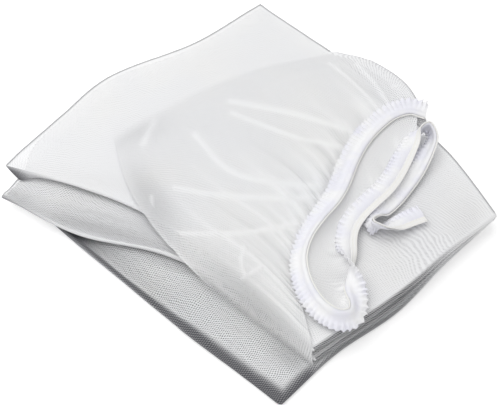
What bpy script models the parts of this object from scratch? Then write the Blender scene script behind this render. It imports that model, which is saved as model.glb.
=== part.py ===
"""Crib mosquito net, folded back and forth into a soft square pile.

The net is one cloth of fine knitted mesh. It lies in three packets of two plies each, with its
gathered, elasticated opening drawn over the top. A ruffled binding and an elastic tape edge that opening.
The origin is the middle of the pile on the surface it rests on, with z up. Lengths below are millimetres.
"""

import math
from collections import namedtuple

import bmesh
import bpy
from mathutils import Vector

MM = 0.001

# Middle of the pile's box in the axes of the tables below, which becomes the origin
PILE_MIDDLE = (1.58, -1.93)

# Driving sizes
PLY = 1.5
FIRST_PLY_HEIGHT = PLY / 2
FLAT_PLIES = 6
BINDING_THICKNESS = 1.1
TAPE_THICKNESS = 1.3
FRILL_REACH = 8.5
HEM_EDGE = -2.5
TAPE_NEAR_EDGE = -3.2
TAPE_FAR_EDGE = -8.6
PLEAT_PITCH = 5.2
PLEAT_SWING = 1.0
SCALLOP = 1.2
TAPE_STEP = 7.0

# Mesh density
ROWS_PER_PLY = 7
ROWS_PER_TURN = 4
TOP_ROWS = 42
COLUMNS_LEFT = 5
COLUMNS_GATHERED = 11
COLUMNS_RIGHT = 5
COLUMNS_ROLLED = 2
GATHERED_FROM = 0.27
GATHERED_TO = 0.63
ROLLED_FROM = 0.986
DRAPE_ROWS = 4

# Plan of each packet's edges, five places from one end of the edge to the other
Edge = namedtuple("Edge", "start quarter middle three_quarter end")
Packet = namedtuple("Packet", "front back left right")
PACKETS = {
    "bottom": Packet(
        front=Edge((-95, -146), (-34, -143), (38, -139), (108, -133), (160, -128)),
        back=Edge((-128, 132), (-50, 137), (30, 134), (102, 127), (162, 112)),
        left=Edge((-95, -146), (-128, -80), (-150, -15), (-134, 60), (-128, 132)),
        right=Edge((160, -128), (159, -68), (167, -6), (163, 54), (162, 112)),
    ),
    "middle": Packet(
        front=Edge((-134, -163), (-62, -142), (4, -103), (76, -83), (156, -86)),
        back=Edge((-134, 136), (-50, 140), (30, 137), (104, 129), (165, 112)),
        left=Edge((-134, -163), (-150, -80), (-157, -15), (-138, 60), (-134, 136)),
        right=Edge((156, -86), (163, -38), (166, 12), (164, 62), (165, 112)),
    ),
    "top": Packet(
        front=Edge((-149, -147), (-92, -114), (-30, -91), (64, -78), (153, -85)),
        back=Edge((-139, 141), (-50, 143), (30, 138), (106, 130), (167, 113)),
        left=Edge((-149, -147), (-159, -78), (-165, -18), (-144, 58), (-139, 141)),
        right=Edge((153, -85), (162, -37), (166, 13), (165, 63), (167, 113)),
    ),
    "gathered": Packet(
        front=Edge((-110, -58), (-50, -84), (16, -91), (84, -84), (147, -84)),
        back=Edge((-52, 138), (-22, 145), (8, 147), (30, 146), (54, 141)),
        left=Edge((-110, -58), (-107, -18), (-98, 34), (-82, 84), (-52, 138)),
        right=Edge((147, -84), (98, -48), (70, 5), (46, 66), (54, 141)),
    ),
}
PACKET_OF_PLY = {1: "bottom", 2: "bottom", 3: "middle", 4: "middle", 5: "top", 6: "top"}

# Height of each ply over the one below, with what the four corners of the pile add to it
Gap = namedtuple("Gap", "height left_corner back_corner right_corner front_corner")
GAPS = {
    2: Gap(6.2, 0.0, -1.6, -1.0, -0.8),
    3: Gap(3.1, 1.2, -0.4, -0.2, 0.0),
    4: Gap(6.0, -0.6, -1.6, -1.2, -0.4),
    5: Gap(3.1, 1.6, -0.4, -0.2, 0.0),
    6: Gap(6.2, -0.4, -1.4, -1.0, -0.6),
}
CORNERS = {
    "left_corner": (-145, -145),
    "back_corner": (-140, 140),
    "right_corner": (162, 112),
    "front_corner": (155, -95),
}
CORNER_SPREAD = 75
GATHERED_GAP = 3.6
GATHERED_GAP_AT_EDGE = 2.2

# Soft swells of the upper ply of each packet
Swell = namedtuple("Swell", "heading wavelength height phase")
SWELLS = (
    Swell(20, 118, 0.45, 0.4),
    Swell(75, 86, 0.35, 1.9),
    Swell(132, 64, 0.22, 3.1),
)

# Creases that a step away still shows: where each runs, and how wide and high it is
Crease = namedtuple("Crease", "ply start end width height")
CREASES = (
    Crease(4, (-100, -146), (8, -92), 9, 1.5),
    Crease(2, (20, -122), (92, -116), 7, 0.9),
    Crease(2, (62, -134), (132, -114), 6, 0.8),
    Crease(6, (60, 20), (150, -70), 11, 0.6),
)

# Front edges of the packets sink towards their fold
FRONT_SINK = {2: (26, 1.6), 4: (30, 2.2), 6: (20, 1.8)}

# Gathers fan out from the elasticated edge, wander along it and vary in height
Wave = namedtuple("Wave", "height turns phase")
GATHERS = 12
GATHER_HEIGHT = 1.9
GATHER_WANDER = Wave(0.012, 2.3, 0.7)
GATHER_UNEVENNESS = Wave(0.25, 3.1, 1.1)
GATHER_SPREAD = 0.02
GATHERED_SHARE = 0.5
GATHER_END_SHARE = 0.14
GATHER_END_LOSS = 0.7
EDGE_SHARE = 0.12

# Front edge of the gathered ply, and the folds at the ends of the plies
DRAPE_REACH = Edge(4.0, 7.0, 13.0, 12.0, 8.5)
DRAPE_DROP = Edge(1.0, 1.6, 10.5, 10.5, 7.5)
TURN_PUFF = 1.15
SIDE_PUFF = 2.4
SIDE_CLEARANCE = 0.6
OPENING_TURN_REACH = 5.0
OPENING_TURN_BULGE = 13.0

# Steps back from an edge that give the way out of it, and the samples along the route
END_STEP = 0.06
ROLL_STEP = 0.05
TANGENT_STEP = 0.002
LENGTH_SAMPLES = 600
FRAME_SAMPLES = 1200

# Route of the elasticated edge: the seam between frill and hem. The frill points along heading and pitch.
Stop = namedtuple("Stop", "x y z heading pitch")
ROUTE = (
    Stop(60, 146, 33.0, 120, 4),
    Stop(47, 138, 34.2, 138, 4),
    Stop(40, 121, 34.8, 168, 2),
    Stop(40, 100, 34.8, 185, 0),
    Stop(44, 78, 34.8, 197, 0),
    Stop(52, 57, 34.8, 204, 0),
    Stop(62, 37, 34.8, 202, -4),
    Stop(69, 19, 35.2, 197, -12),
    Stop(74, -3, 36.0, 198, -24),
    Stop(81, -24, 36.6, 208, -34),
    Stop(92, -42, 36.8, 222, -38),
    Stop(107, -54, 36.6, 236, -38),
    Stop(123, -61, 36.2, 252, -38),
    Stop(139, -63, 35.6, 270, -40),
    Stop(152, -59, 35.0, 305, -42),
    Stop(158, -49, 34.8, 350, -42),
    Stop(153, -39, 34.8, 392, -32),
    Stop(143, -31, 35.2, 408, 0),
    Stop(132, -23, 36.4, 405, 60),
    Stop(121, -15, 36.4, 230, 62),
    Stop(111, -7, 34.8, 224, 16),
    Stop(103, 1, 33.6, 216, 4),
    Stop(96, 12, 33.2, 206, 1),
    Stop(92, 27, 33.4, 188, 0),
    Stop(91, 44, 34.0, 181, 0),
    Stop(90, 60, 34.0, 184, 0),
    Stop(86, 77, 34.0, 194, 0),
    Stop(80, 93, 33.8, 199, -4),
    Stop(74, 109, 34.2, 198, -22),
    Stop(70, 121, 35.8, 196, -58),
    Stop(76, 131, 36.6, 250, -88),
    Stop(85, 124, 34.6, 205, -56),
    Stop(89, 110, 31.6, 201, -22),
    Stop(94, 93, 29.4, 198, -4),
    Stop(98, 76, 29.0, 192, 0),
    Stop(101, 59, 29.0, 184, 0),
    Stop(102.5, 44, 29.8, 178, -8),
    Stop(105.5, 30, 34.2, 190, -48),
    Stop(112, 22, 37.2, 230, -88),
    Stop(118, 28.5, 35.2, 170, -52),
    Stop(121, 41, 31.4, 164, -16),
    Stop(124, 54, 30.0, 160, -4),
    Stop(127.5, 65, 29.4, 158, 0),
)


def smooth_at(points, share):
    """The point at a share of the way along a smooth curve through evenly counted points."""
    spans = len(points) - 1
    place = min(max(share, 0.0), 1.0) * spans
    index = min(int(place), spans - 1)
    t = place - index
    here, after = Vector(points[index]), Vector(points[index + 1])
    before = Vector(points[index - 1]) if index > 0 else here * 2 - after
    beyond = Vector(points[index + 2]) if index + 2 <= spans else after * 2 - here
    return (
        here * 2
        + (after - before) * t
        + (before * 2 - here * 5 + after * 4 - beyond) * t * t
        + (here * 3 - before - after * 3 + beyond) * t * t * t
    ) * 0.5


def smooth_value(values, share):
    """The same curve through plain numbers."""
    return smooth_at([(value, 0.0) for value in values], share).x


def ease(value):
    """A smooth step from 0 to 1."""
    value = min(max(value, 0.0), 1.0)
    return value * value * (3 - 2 * value)


def plan_point(packet, across, along):
    """A packet's plan position, from its left to its right edge and from its front to its back edge."""
    edges = PACKETS[packet]
    front, back = smooth_at(edges.front, across), smooth_at(edges.back, across)
    left, right = smooth_at(edges.left, along), smooth_at(edges.right, along)
    corners = (
        Vector(edges.front.start) * (1 - across) * (1 - along)
        + Vector(edges.front.end) * across * (1 - along)
        + Vector(edges.back.start) * (1 - across) * along
        + Vector(edges.back.end) * across * along
    )
    return front * (1 - along) + back * along + left * (1 - across) + right * across - corners


def corner_weight(corner, x, y):
    """How much a corner of the pile counts at a place."""
    away = (Vector((x, y)) - Vector(corner)).length
    return math.exp(-((away / CORNER_SPREAD) ** 2))


def swell_at(x, y):
    """Height of the soft swells at a place."""
    total = 0.0
    for swell in SWELLS:
        heading = math.radians(swell.heading)
        distance = x * math.cos(heading) + y * math.sin(heading)
        total += swell.height * math.sin(2 * math.pi * distance / swell.wavelength + swell.phase)
    return total


def crease_at(ply, x, y):
    """Height that the creases of one ply add at a place."""
    total = 0.0
    for crease in CREASES:
        if crease.ply != ply:
            continue
        start, end = Vector(crease.start), Vector(crease.end)
        run = end - start
        share = (Vector((x, y)) - start).dot(run) / run.length_squared
        nearest = start + run * min(max(share, 0.0), 1.0)
        away = (Vector((x, y)) - nearest).length
        total += crease.height * math.exp(-((away / crease.width) ** 2))
    return total


def height_of(ply, x, y):
    """Height of the middle of a flat ply over the surface."""
    height = FIRST_PLY_HEIGHT
    for number in range(2, ply + 1):
        gap = GAPS[number]
        height += gap.height
        for corner, place in CORNERS.items():
            height += getattr(gap, corner) * corner_weight(place, x, y)
    if ply % 2 == 0:
        height += swell_at(x, y) + crease_at(ply, x, y)
    return height


def flat_point(ply, across, along):
    """A point of a flat ply. Past ROLLED_FROM the upper ply of a packet rolls down over its right side."""
    packet = PACKET_OF_PLY[ply]
    plan = plan_point(packet, min(across, ROLLED_FROM), along)
    height = height_of(ply, plan.x, plan.y)
    if ply in FRONT_SINK:
        width, depth = FRONT_SINK[ply]
        from_front = (plan - plan_point(packet, min(across, ROLLED_FROM), 0.0)).length
        height -= depth * (1 - ease(from_front / width))
    if across <= ROLLED_FROM:
        return Vector((plan.x, plan.y, height))
    turn = (across - ROLLED_FROM) / (1 - ROLLED_FROM)
    outward = (plan - plan_point(packet, ROLLED_FROM - ROLL_STEP, along)).normalized()
    if ply % 2:
        plan += outward * turn * SIDE_PUFF
        return Vector((plan.x, plan.y, height))
    radius = height - height_of(ply - 1, plan.x, plan.y) - PLY - SIDE_CLEARANCE
    plan += outward * (SIDE_PUFF + PLY + SIDE_CLEARANCE) * math.sin(turn * math.pi / 2)
    return Vector((plan.x, plan.y, height - radius * (1 - math.cos(turn * math.pi / 2))))


def wave_at(wave, along):
    """A wave's value at a share of the way along the edge."""
    return wave.height * math.sin(2 * math.pi * wave.turns * along + wave.phase)


def gather_at(across, along):
    """Height of the gathers that fan out from the elasticated edge."""
    phase = along + wave_at(GATHER_WANDER, along) + GATHER_SPREAD * (1 - across)
    ridge = 0.5 + 0.5 * math.cos(2 * math.pi * GATHERS * phase)
    uneven = 1 - GATHER_UNEVENNESS.height + wave_at(GATHER_UNEVENNESS, along)
    near_edge = ease((across - 1 + GATHER_END_SHARE) / GATHER_END_SHARE)
    fade = ease(across / GATHERED_SHARE) * (1 - GATHER_END_LOSS * near_edge)
    return GATHER_HEIGHT * ridge * uneven * fade


def gathered_point(across, along):
    """A point of the gathered ply on top. It droops over the packets at its front edge."""
    plan = plan_point("gathered", across, along)
    inside = ease(across / EDGE_SHARE) * ease((1 - across) / EDGE_SHARE)
    gap = GATHERED_GAP_AT_EDGE + (GATHERED_GAP - GATHERED_GAP_AT_EDGE) * inside
    height = height_of(FLAT_PLIES, plan.x, plan.y) + gap + gather_at(across, along)
    return Vector((plan.x, plan.y, height))


def drape_point(across, step):
    """The front edge of the gathered ply, as it falls over the front of the packets."""
    edge = gathered_point(across, 0.0)
    inner = gathered_point(across, END_STEP)
    outward = (edge.xy - inner.xy).normalized()
    angle = step * math.pi / 2
    plan = edge.xy + outward * smooth_value(DRAPE_REACH, across) * math.sin(angle)
    drop = smooth_value(DRAPE_DROP, across) * (1 - math.cos(angle))
    return Vector((plan.x, plan.y, edge.z - drop))


def turn_point(lower, upper, outward, reach, angle):
    """A point of the round fold between two plies' edges."""
    rise = (upper.z - lower.z) / 2
    share = (1 + math.sin(angle)) / 2
    plan = lower.xy.lerp(upper.xy, share) + outward * reach * math.cos(angle)
    return Vector((plan.x, plan.y, lower.z + rise + rise * math.sin(angle)))


def ply_end(ply, across, along):
    """A ply's end point, and the plan direction that leads out of the pile there."""
    inside = abs(along - END_STEP)
    end, inner = flat_point(ply, across, along), flat_point(ply, across, inside)
    return end, (end.xy - inner.xy).normalized()


def folded_rows():
    """The rows of the cloth in order: each is a function from a column's share to a point."""
    rows = []
    for ply in range(1, FLAT_PLIES + 1):
        to_front = ply % 2 == 1
        for step in range(ROWS_PER_PLY + 1):
            share = step / ROWS_PER_PLY
            along = 1 - share if to_front else share
            rows.append(lambda across, ply=ply, along=along: flat_point(ply, across, along))
        if ply == FLAT_PLIES:
            break
        along = 0.0 if to_front else 1.0
        for step in range(1, ROWS_PER_TURN):
            angle = math.pi * (step / ROWS_PER_TURN - 0.5)
            rows.append(lambda across, ply=ply, along=along, angle=angle: fold_point(ply, across, along, angle))
    return rows


def fold_point(ply, across, along, angle):
    """A point of the fold that joins a flat ply to the next one up."""
    lower, outward = ply_end(ply, across, along)
    upper = flat_point(ply + 1, across, along)
    reach = (upper.z - lower.z) / 2 * TURN_PUFF
    return turn_point(lower, upper, outward, reach, angle)


def opening_rows():
    """The rows from the last fold to the gathered ply's front edge, each a function from 0 to 1 across it."""
    rows = []
    for step in range(1, ROWS_PER_TURN + 1):
        angle = math.pi * (step / (ROWS_PER_TURN + 1) - 0.5)
        rows.append(lambda across, angle=angle: opening_fold_point(across, angle))
    for step in range(TOP_ROWS + 1):
        along = 1 - step / TOP_ROWS
        rows.append(lambda across, along=along: gathered_point(across, along))
    for step in range(1, DRAPE_ROWS + 1):
        rows.append(lambda across, share=step / DRAPE_ROWS: drape_point(across, share))
    return rows


def opening_fold_point(across, angle):
    """A point of the wide fold that brings the last flat ply over into the gathered one."""
    column = GATHERED_FROM + (GATHERED_TO - GATHERED_FROM) * across
    lower, outward = ply_end(FLAT_PLIES, column, 1.0)
    upper = gathered_point(across, 1.0)
    reach = OPENING_TURN_REACH + OPENING_TURN_BULGE * math.sin(math.pi * across)
    return turn_point(lower, upper, outward, reach, angle)


def column_shares():
    """Where the columns stand across a flat ply."""
    shares = [GATHERED_FROM * step / COLUMNS_LEFT for step in range(COLUMNS_LEFT)]
    width = GATHERED_TO - GATHERED_FROM
    shares += [GATHERED_FROM + width * step / COLUMNS_GATHERED for step in range(COLUMNS_GATHERED)]
    width = ROLLED_FROM - GATHERED_TO
    shares += [GATHERED_TO + width * step / COLUMNS_RIGHT for step in range(COLUMNS_RIGHT)]
    width = 1 - ROLLED_FROM
    shares += [ROLLED_FROM + width * step / COLUMNS_ROLLED for step in range(COLUMNS_ROLLED + 1)]
    return shares


def collection_named(name):
    """A new collection in the scene."""
    collection = bpy.data.collections.new(name)
    bpy.context.scene.collection.children.link(collection)
    return collection


def finish_named(name, colour, roughness):
    """A plain cloth finish."""
    material = bpy.data.materials.new(name)
    material.use_nodes = True
    shader = material.node_tree.nodes["Principled BSDF"]
    shader.inputs["Base Color"].default_value = (*colour, 1)
    shader.inputs["Roughness"].default_value = roughness
    shader.inputs["Metallic"].default_value = 0
    return material


def sheet_object(name, collection, place, columns, rows, thickness, material):
    """A grid whose points are put in place, given its thickness. A point with no place is left out."""
    grid = bmesh.new()
    bmesh.ops.create_grid(grid, x_segments=columns, y_segments=rows, size=0.5)
    spare = []
    for vertex in grid.verts:
        column, row = round((vertex.co.x + 0.5) * columns), round((vertex.co.y + 0.5) * rows)
        point = place(column, row)
        if point is None:
            spare.append(vertex)
        else:
            vertex.co = point * MM
    bmesh.ops.delete(grid, geom=spare, context="VERTS")
    mesh = bpy.data.meshes.new(name)
    grid.to_mesh(mesh)
    grid.free()
    mesh.shade_smooth()
    mesh.materials.append(material)
    sheet = bpy.data.objects.new(name, mesh)
    sheet.location = (-PILE_MIDDLE[0] * MM, -PILE_MIDDLE[1] * MM, 0)
    collection.objects.link(sheet)
    solidify = sheet.modifiers.new("Thickness", "SOLIDIFY")
    solidify.thickness = thickness * MM
    solidify.offset = 0
    return sheet


def make_net(collection):
    """The whole net: six flat plies and the gathered one, in one cloth."""
    shares = column_shares()
    flat, top = folded_rows(), opening_rows()
    first, last = COLUMNS_LEFT, COLUMNS_LEFT + COLUMNS_GATHERED

    def place(column, row):
        if row < len(flat):
            return flat[row](shares[column])
        if not first <= column <= last:
            return None
        return top[row - len(flat)]((column - first) / COLUMNS_GATHERED)

    material = finish_named("mesh_cloth", (0.86, 0.87, 0.89), 0.85)
    rows = len(flat) + len(top) - 1
    return sheet_object("net", collection, place, len(shares) - 1, rows, PLY, material)


def route_length():
    """Length of the elasticated edge's route."""
    places = [Vector((stop.x, stop.y, stop.z)) for stop in ROUTE]
    samples = [smooth_at(places, step / LENGTH_SAMPLES) for step in range(LENGTH_SAMPLES + 1)]
    return sum((after - before).length for before, after in zip(samples, samples[1:]))


def route_frames(count):
    """Evenly spaced frames on the route: the seam's point, the way to the frill and the face's normal."""
    places = [Vector((stop.x, stop.y, stop.z)) for stop in ROUTE]
    ways = []
    for stop in ROUTE:
        heading, pitch = math.radians(stop.heading), math.radians(stop.pitch)
        flat = Vector((math.cos(heading), math.sin(heading), 0)) * math.cos(pitch)
        ways.append(flat + Vector((0, 0, math.sin(pitch))))
    samples = [smooth_at(places, step / FRAME_SAMPLES) for step in range(FRAME_SAMPLES + 1)]
    lengths = [0.0]
    for before, after in zip(samples, samples[1:]):
        lengths.append(lengths[-1] + (after - before).length)
    frames, index = [], 0
    for number in range(count + 1):
        wanted = lengths[-1] * number / count
        while index < FRAME_SAMPLES - 1 and lengths[index + 1] < wanted:
            index += 1
        span = lengths[index + 1] - lengths[index]
        share = (index + (wanted - lengths[index]) / span) / FRAME_SAMPLES
        point = smooth_at(places, share)
        before, after = smooth_at(places, share - TANGENT_STEP), smooth_at(places, share + TANGENT_STEP)
        tangent = (after - before).normalized()
        way = smooth_at(ways, share)
        way = (way - tangent * way.dot(tangent)).normalized()
        frames.append((point, way, tangent.cross(way).normalized()))
    return frames


def make_binding(collection):
    """The ruffled binding: a flat hem at the seam and a pleated frill beyond it."""
    pleats = round(route_length() / PLEAT_PITCH)
    frames = route_frames(pleats * 2)
    stations = (HEM_EDGE, 0.0, FRILL_REACH * 0.5, FRILL_REACH)

    def place(column, row):
        point, way, normal = frames[row]
        reach = stations[column]
        share = max(reach, 0.0) / FRILL_REACH
        side = 1 if row % 2 else -1
        reach -= SCALLOP * share * (side < 0)
        return point + way * reach + normal * PLEAT_SWING * share * side

    material = finish_named("ruffled_binding", (0.93, 0.93, 0.94), 0.75)
    rows = len(frames) - 1
    return sheet_object("ruffled_binding", collection, place, 3, rows, BINDING_THICKNESS, material)


def make_tape(collection):
    """The elastic tape along the hem."""
    frames = route_frames(round(route_length() / TAPE_STEP))
    stations = (TAPE_NEAR_EDGE, TAPE_FAR_EDGE)

    def place(column, row):
        point, way, _ = frames[row]
        return point + way * stations[column]

    material = finish_named("elastic_tape", (0.90, 0.88, 0.82), 0.7)
    return sheet_object("elastic_tape", collection, place, 1, len(frames) - 1, TAPE_THICKNESS, material)


def clear_scene():
    """Takes everything out of the scene."""
    for item in list(bpy.data.objects):
        bpy.data.objects.remove(item)


def main():
    clear_scene()
    collection = collection_named("crib_mosquito_net")
    make_net(collection)
    make_binding(collection)
    make_tape(collection)


main()
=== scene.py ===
"""A folded crib mosquito net: mesh plies, gathered opening, ruffled binding and elastic tape.

The folded mesh lies in three packets of two plies. The opening is drawn over them and fans out in gathers
from its elasticated edge. Lengths in the tables are millimetres in the pile's own plan, with x to the right
side, y to the back and z up from the surface.
"""

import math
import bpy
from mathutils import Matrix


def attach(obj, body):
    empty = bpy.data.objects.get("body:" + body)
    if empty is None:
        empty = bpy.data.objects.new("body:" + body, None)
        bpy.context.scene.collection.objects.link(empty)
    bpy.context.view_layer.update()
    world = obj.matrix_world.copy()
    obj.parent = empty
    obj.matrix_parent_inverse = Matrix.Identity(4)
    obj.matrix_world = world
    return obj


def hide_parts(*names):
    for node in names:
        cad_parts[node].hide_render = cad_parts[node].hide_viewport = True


bl_info = {
    "name": "Folded Crib Mosquito Net",
    "version": (1, 0, 0),
    "blender": (4, 5, 0),
    "location": "View3D > Sidebar > Crib Net",
    "description": "Models the mesh, gathers, frill and elastic of a folded crib mosquito net",
    "category": "Object",
}

from collections import namedtuple

import bpy
import numpy as np
from bpy.props import FloatProperty, FloatVectorProperty, IntProperty, PointerProperty
from bpy.types import Operator, Panel, PropertyGroup

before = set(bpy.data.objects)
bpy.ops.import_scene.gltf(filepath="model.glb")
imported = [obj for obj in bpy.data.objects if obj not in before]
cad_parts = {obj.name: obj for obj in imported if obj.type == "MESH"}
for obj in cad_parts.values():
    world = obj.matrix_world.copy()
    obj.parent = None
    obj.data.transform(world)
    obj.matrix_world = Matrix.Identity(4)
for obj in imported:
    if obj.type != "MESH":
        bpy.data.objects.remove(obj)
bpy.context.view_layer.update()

MM = 0.001
TURN = 2 * math.pi
SEED = 7

# Middle of the pile's box in the tables' plan, which is the frame's origin
PILE_MIDDLE = (1.58, -1.93)

# Plies
PLY = 1.5
FLAT_PLIES = 6
GATHERED_FROM, GATHERED_TO = 0.27, 0.63
ROLLED_FROM = 0.986
Edge = namedtuple("Edge", "start quarter middle three_quarter end")
Packet = namedtuple("Packet", "front back left right")
PACKETS = {
    "bottom": Packet(
        front=Edge((-95, -146), (-34, -143), (38, -139), (108, -133), (160, -128)),
        back=Edge((-128, 132), (-50, 137), (30, 134), (102, 127), (162, 112)),
        left=Edge((-95, -146), (-128, -80), (-150, -15), (-134, 60), (-128, 132)),
        right=Edge((160, -128), (159, -68), (167, -6), (163, 54), (162, 112)),
    ),
    "middle": Packet(
        front=Edge((-134, -163), (-62, -142), (4, -103), (76, -83), (156, -86)),
        back=Edge((-134, 136), (-50, 140), (30, 137), (104, 129), (165, 112)),
        left=Edge((-134, -163), (-150, -80), (-157, -15), (-138, 60), (-134, 136)),
        right=Edge((156, -86), (163, -38), (166, 12), (164, 62), (165, 112)),
    ),
    "top": Packet(
        front=Edge((-149, -147), (-92, -114), (-30, -91), (64, -78), (153, -85)),
        back=Edge((-139, 141), (-50, 143), (30, 138), (106, 130), (167, 113)),
        left=Edge((-149, -147), (-159, -78), (-165, -18), (-144, 58), (-139, 141)),
        right=Edge((153, -85), (162, -37), (166, 13), (165, 63), (167, 113)),
    ),
    "gathered": Packet(
        front=Edge((-110, -58), (-50, -84), (16, -91), (84, -84), (147, -84)),
        back=Edge((-52, 138), (-22, 145), (8, 147), (30, 146), (54, 141)),
        left=Edge((-110, -58), (-107, -18), (-98, 34), (-82, 84), (-52, 138)),
        right=Edge((147, -84), (98, -48), (70, 5), (46, 66), (54, 141)),
    ),
}
PACKET_OF_PLY = {1: "bottom", 2: "bottom", 3: "middle", 4: "middle", 5: "top", 6: "top"}
Gap = namedtuple("Gap", "height left_corner back_corner right_corner front_corner")
GAPS = {
    2: Gap(6.2, 0.0, -1.6, -1.0, -0.8),
    3: Gap(3.1, 1.2, -0.4, -0.2, 0.0),
    4: Gap(6.0, -0.6, -1.6, -1.2, -0.4),
    5: Gap(3.1, 1.6, -0.4, -0.2, 0.0),
    6: Gap(6.2, -0.4, -1.4, -1.0, -0.6),
}
CORNERS = {
    "left_corner": (-145, -145),
    "back_corner": (-140, 140),
    "right_corner": (162, 112),
    "front_corner": (155, -95),
}
CORNER_SPREAD = 75
GATHERED_GAP, GATHERED_EDGE_GAP = 3.6, 0.8
Swell = namedtuple("Swell", "heading wavelength height phase")
SWELLS = (Swell(20, 118, 0.45, 0.4), Swell(75, 86, 0.35, 1.9), Swell(132, 64, 0.22, 3.1))
FRONT_SINK = {2: (26, 1.6), 4: (30, 2.2), 6: (20, 1.8)}
TURN_PUFF = 1.15
# The top packet's lower ply sags at the left tip, so that the tip stands open
TIP_PLY, TIP, TIP_SAG, TIP_PULL, TIP_SPREAD = 5, (-150, -147), 3.4, (15, 2), 20
OPENING_TURN_REACH, OPENING_TURN_BULGE = 5.0, 13.0
DRAPE_REACH = Edge(5.0, 9.0, 12.0, 20.0, 13.0)
DRAPE_DROP = Edge(0.3, 2.2, 10.8, 19.8, 17.4)
WEAVE_ANGLE = math.radians(46)

# Creases given one by one: the ply, where each starts, bends and ends, and how wide and high it is
Crease = namedtuple("Crease", "ply start bend end width height")
GATHERED = 7
CREASES = (
    Crease(4, (-100, -146), (-50, -116), (8, -92), 9, 1.5),
    Crease(4, (-133, -162), (-78, -130), (-1, -96), 3.4, 1.8),
    Crease(4, (-91, -136), (-46, -112), (-3, -98), 2.0, -0.6),
    Crease(2, (20, -122), (56, -120), (92, -116), 7, 0.9),
    Crease(2, (62, -134), (98, -126), (132, -114), 6, 0.8),
    Crease(2, (-1, -118), (23, -107), (61, -85), 2.4, 1.5),
    Crease(2, (135, -125), (147, -126), (158, -126), 3.0, 1.0),
    Crease(6, (60, 20), (108, -22), (150, -70), 11, 0.6),
    Crease(6, (125, 28), (131, 18), (137, 6), 1.4, 0.5),
    Crease(6, (119, 21), (125, 13), (131, 4), 1.2, 0.4),
    Crease(6, (-120, -60), (-110, 20), (-70, 90), 9, 0.8),
    Crease(6, (-135, 0), (-120, 60), (-100, 120), 6, 0.5),
    Crease(GATHERED, (-67, 36), (-22, 63), (23, 83), 3.2, 1.1),
    Crease(GATHERED, (-56, 27), (3, 49), (37, 69), 2.8, 0.9),
    Crease(GATHERED, (-60, -12), (-3, -15), (58, 28), 3.0, 1.2),
    Crease(GATHERED, (-30, -62), (13, -31), (63, 18), 2.6, 1.2),
    Crease(GATHERED, (4, -92), (39, -56), (69, -11), 2.4, 1.4),
    Crease(GATHERED, (-20, 145), (12, 138), (44, 126), 2.2, 1.0),
    Crease(GATHERED, (-39, 129), (2, 126), (42, 118), 2.0, 0.8),
    Crease(GATHERED, (7, -101), (-20, -94), (-37, -82), 2.2, 1.3),
    Crease(GATHERED, (70, -93), (72, -80), (74, -66), 1.8, 1.3),
    Crease(GATHERED, (72, -80), (60, -74), (52, -62), 1.6, 0.9),
    Crease(GATHERED, (-108, -37), (-100, -25), (-84, -50), 3.4, 0.9),
)

# Creases that run out from the elasticated edge: how many, how long at least and at most as shares of the
# way across, how wide as a share of the edge, and how high
Strokes = namedtuple("Strokes", "count shortest longest width height")
STROKES = (
    Strokes(20, 0.35, 0.95, 0.0070, 1.25),
    Strokes(52, 0.14, 0.55, 0.0046, 1.00),
    Strokes(110, 0.05, 0.24, 0.0032, 0.75),
)

# How open each ply's mesh looks, and how deep in shade it lies
OPENNESS = {1: 0.0, 2: 0.33, 3: 0.12, 4: 0.31, 5: 0.14, 6: 0.13, GATHERED: 0.14}
DEPTH = {1: 0.72, 2: 0.13, 3: 0.72, 4: 0.04, 5: 0.32, 6: 0.0, GATHERED: 0.12}
# The gathers' crests are painted lighter and their grooves darker: partly the bunched threads' own whiteness, partly
# painted light and shade
CREST_LIGHT = 0.19
# Painted shade added to a front fold's closed upper lip, for the shade that open mesh shows through its holes
KNIT_DEPTH = 0.10
# A thin painted dark outline along each ply's left edge and the top ply's back edge: its width and the depth of its
# painted shade
OUTLINE_WIDTH, OUTLINE_SHADE = 1.5, 1.0
# How deep in painted shade the rolled right side is from the front to the back, and each front fold from left to right
SIDE_PLACES, SIDE_DEPTHS = (0.0, 0.45, 0.75, 1.0), (1.05, 1.20, 0.42, 0.10)
FRONT_PLACES = (0.0, 0.07, 0.18, 0.35, 0.6, 1.0)
FRONT_DEPTHS = {
    1: (1.60, 1.50, 0.75, 0.80, 1.30, 1.60),
    3: (1.00, 0.80, 0.42, 0.22, 0.18, 0.30),
    5: (1.60, 0.65, 0.12, 0.06, 0.08, 0.10),
}
# How much of a front fold's painted shade its upper lip takes
LIP_SHARE = 0.6
# How far along its front, and round its right corner, the bottom fold's one layer of mesh is painted in deep shade
FRONT_MARGINS, CORNER_MARGIN = (1.0, 1.2, 1.2, 2.2, 5.6, 9.5), 8.5
SHADED_EDGE_DEPTH = 1.50
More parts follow.
